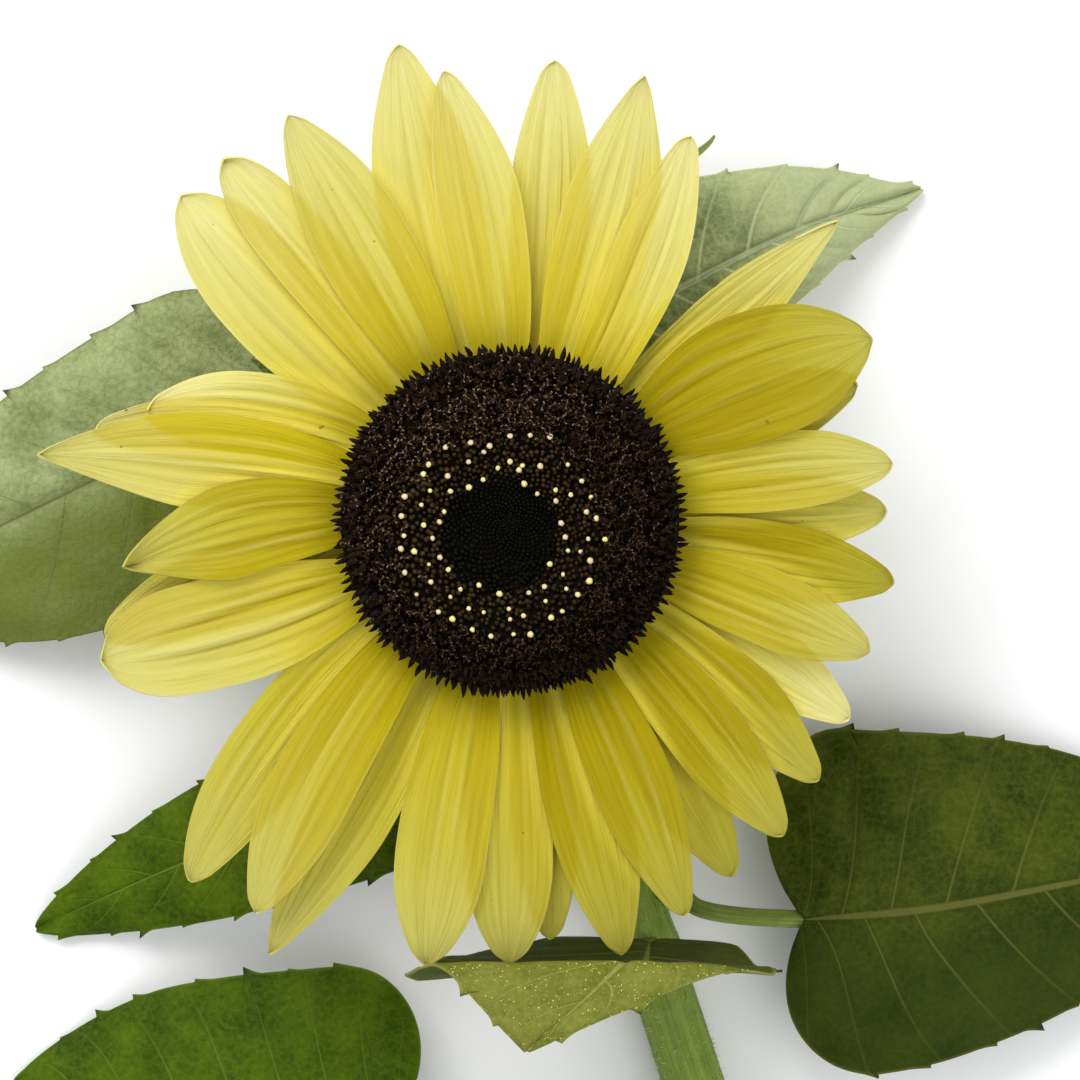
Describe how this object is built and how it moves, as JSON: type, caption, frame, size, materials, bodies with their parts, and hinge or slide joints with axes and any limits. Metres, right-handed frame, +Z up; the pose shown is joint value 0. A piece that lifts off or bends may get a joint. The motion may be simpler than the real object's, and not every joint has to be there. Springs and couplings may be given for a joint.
{
  "type": "cut sunflower",
  "caption": "Pale lemon sunflower with a dark disc, cut with its stem and leaves, lying on its back.",
  "frame": {"origin": "middle of the footprint, on the surface that the cut flower lies on", "axes": "+Z up, out of the bloom's face; +Y from the cut end of the stem towards the bloom; +X to the right, seen from above"},
  "size_m": [0.2536, 0.2664, 0.0599],
  "materials": {
    "petal": "satin",
    "bract": "matt, hairy",
    "leaf": "matt, rough",
    "stem": "satin, hairy",
    "receptacle": "matt",
    "disc": "matt"
  },
  "bodies": {
    "root": {"bract_inner_1": "bract", "bract_inner_2": "bract", "bract_inner_3": "bract", "bract_inner_4": "bract", "bract_inner_5": "bract", "bract_inner_6": "bract", "bract_inner_7": "bract", "bract_inner_8": "bract", "bract_inner_9": "bract", "bract_outer_1": "bract", "bract_outer_2": "bract", "bract_outer_3": "bract", "bract_outer_4": "bract", "bract_outer_5": "bract", "bract_outer_6": "bract", "bract_outer_7": "bract", "disc": "disc", "leaf_left": "leaf", "leaf_left_lower": "leaf", "leaf_lower_centre": "leaf", "leaf_lower_left": "leaf", "leaf_right_lower": "leaf", "leaf_upper_right": "leaf", "neck": "stem", "petal_left_a": "petal", "petal_left_b": "petal", "petal_left_c": "petal", "petal_left_d": "petal", "petal_left_e": "petal", "petal_left_f": "petal", "petal_left_g": "petal", "petal_left_h": "petal", "petal_left_i": "petal", "petal_left_j": "petal", "petal_left_k": "petal", "petal_left_l": "petal", "petal_low_a": "petal", "petal_low_b": "petal", "petal_low_c": "petal", "petal_low_d": "petal", "petal_low_e": "petal", "petal_low_f": "petal", "petal_low_g": "petal", "petal_low_h": "petal", "petal_right_a": "petal", "petal_right_b": "petal", "petal_right_c": "petal", "petal_right_d": "petal", "petal_right_e": "petal", "petal_right_f": "petal", "petal_right_g": "petal", "petal_right_h": "petal", "petal_top_a": "petal", "petal_top_b": "petal", "petal_top_c": "petal", "petal_top_d": "petal", "petal_top_e": "petal", "receptacle": "receptacle", "stem": "stem"}
  },
  "joints": []
}
